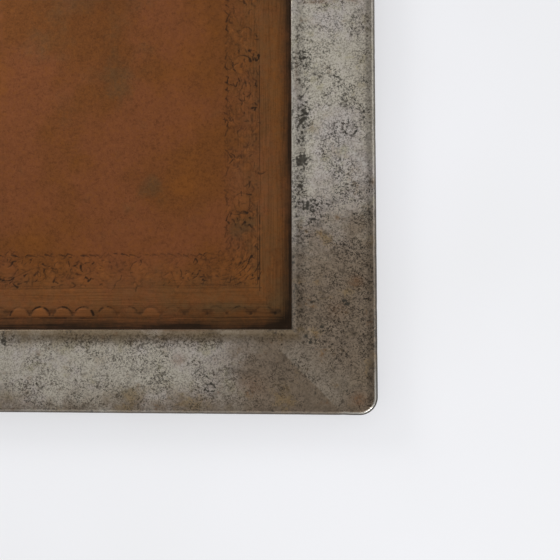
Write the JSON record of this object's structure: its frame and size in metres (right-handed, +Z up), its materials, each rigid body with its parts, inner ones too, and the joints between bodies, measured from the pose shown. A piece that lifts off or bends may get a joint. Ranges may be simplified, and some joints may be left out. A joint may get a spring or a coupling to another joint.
{
  "type": "framed copper tray",
  "caption": "Shallow rectangular copper pan with a chased and punched border, held in a wide mitred frame of raw steel on low rubber feet.",
  "frame": {"origin": "the middle of the tray, on the surface that its feet stand on", "axes": "+X along the long side, towards the right end; +Y towards the back; +Z up"},
  "size_m": [0.9, 0.6, 0.032],
  "materials": {
    "raw_steel": "raw hot-rolled steel, pitted and mottled, ground at the mitres, waxed to a satin",
    "patinated_copper": "hammered and chased copper with a brown patina, orange where it is rubbed",
    "packing_wood": "plain sawn softwood",
    "plywood": "birch plywood, sealed",
    "plated_steel": "zinc plated",
    "foot_rubber": "matt black"
  },
  "bodies": {
    "root": {"copper_tray": "patinated_copper", "backing_board": "plywood", "frame_rail_front": "raw_steel", "packing_strip_front": "packing_wood", "fixing_screw_front_1": "plated_steel", "fixing_washer_front_1": "plated_steel", "fixing_screw_front_2": "plated_steel", "fixing_washer_front_2": "plated_steel", "fixing_screw_front_3": "plated_steel", "fixing_washer_front_3": "plated_steel", "fixing_screw_front_4": "plated_steel", "fixing_washer_front_4": "plated_steel", "frame_rail_right": "raw_steel", "packing_strip_right": "packing_wood", "fixing_screw_right_1": "plated_steel", "fixing_washer_right_1": "plated_steel", "fixing_screw_right_2": "plated_steel", "fixing_washer_right_2": "plated_steel", "fixing_screw_right_3": "plated_steel", "fixing_washer_right_3": "plated_steel", "frame_rail_back": "raw_steel", "packing_strip_back": "packing_wood", "fixing_screw_back_1": "plated_steel", "fixing_washer_back_1": "plated_steel", "fixing_screw_back_2": "plated_steel", "fixing_washer_back_2": "plated_steel", "fixing_screw_back_3": "plated_steel", "fixing_washer_back_3": "plated_steel", "fixing_screw_back_4": "plated_steel", "fixing_washer_back_4": "plated_steel", "frame_rail_left": "raw_steel", "packing_strip_left": "packing_wood", "fixing_screw_left_1": "plated_steel", "fixing_washer_left_1": "plated_steel", "fixing_screw_left_2": "plated_steel", "fixing_washer_left_2": "plated_steel", "fixing_screw_left_3": "plated_steel", "fixing_washer_left_3": "plated_steel", "foot_front_left": "foot_rubber", "foot_screw_front_left": "plated_steel", "foot_front_right": "foot_rubber", "foot_screw_front_right": "plated_steel", "foot_back_left": "foot_rubber", "foot_screw_back_left": "plated_steel", "foot_back_right": "foot_rubber", "foot_screw_back_right": "plated_steel"}
  },
  "joints": []
}
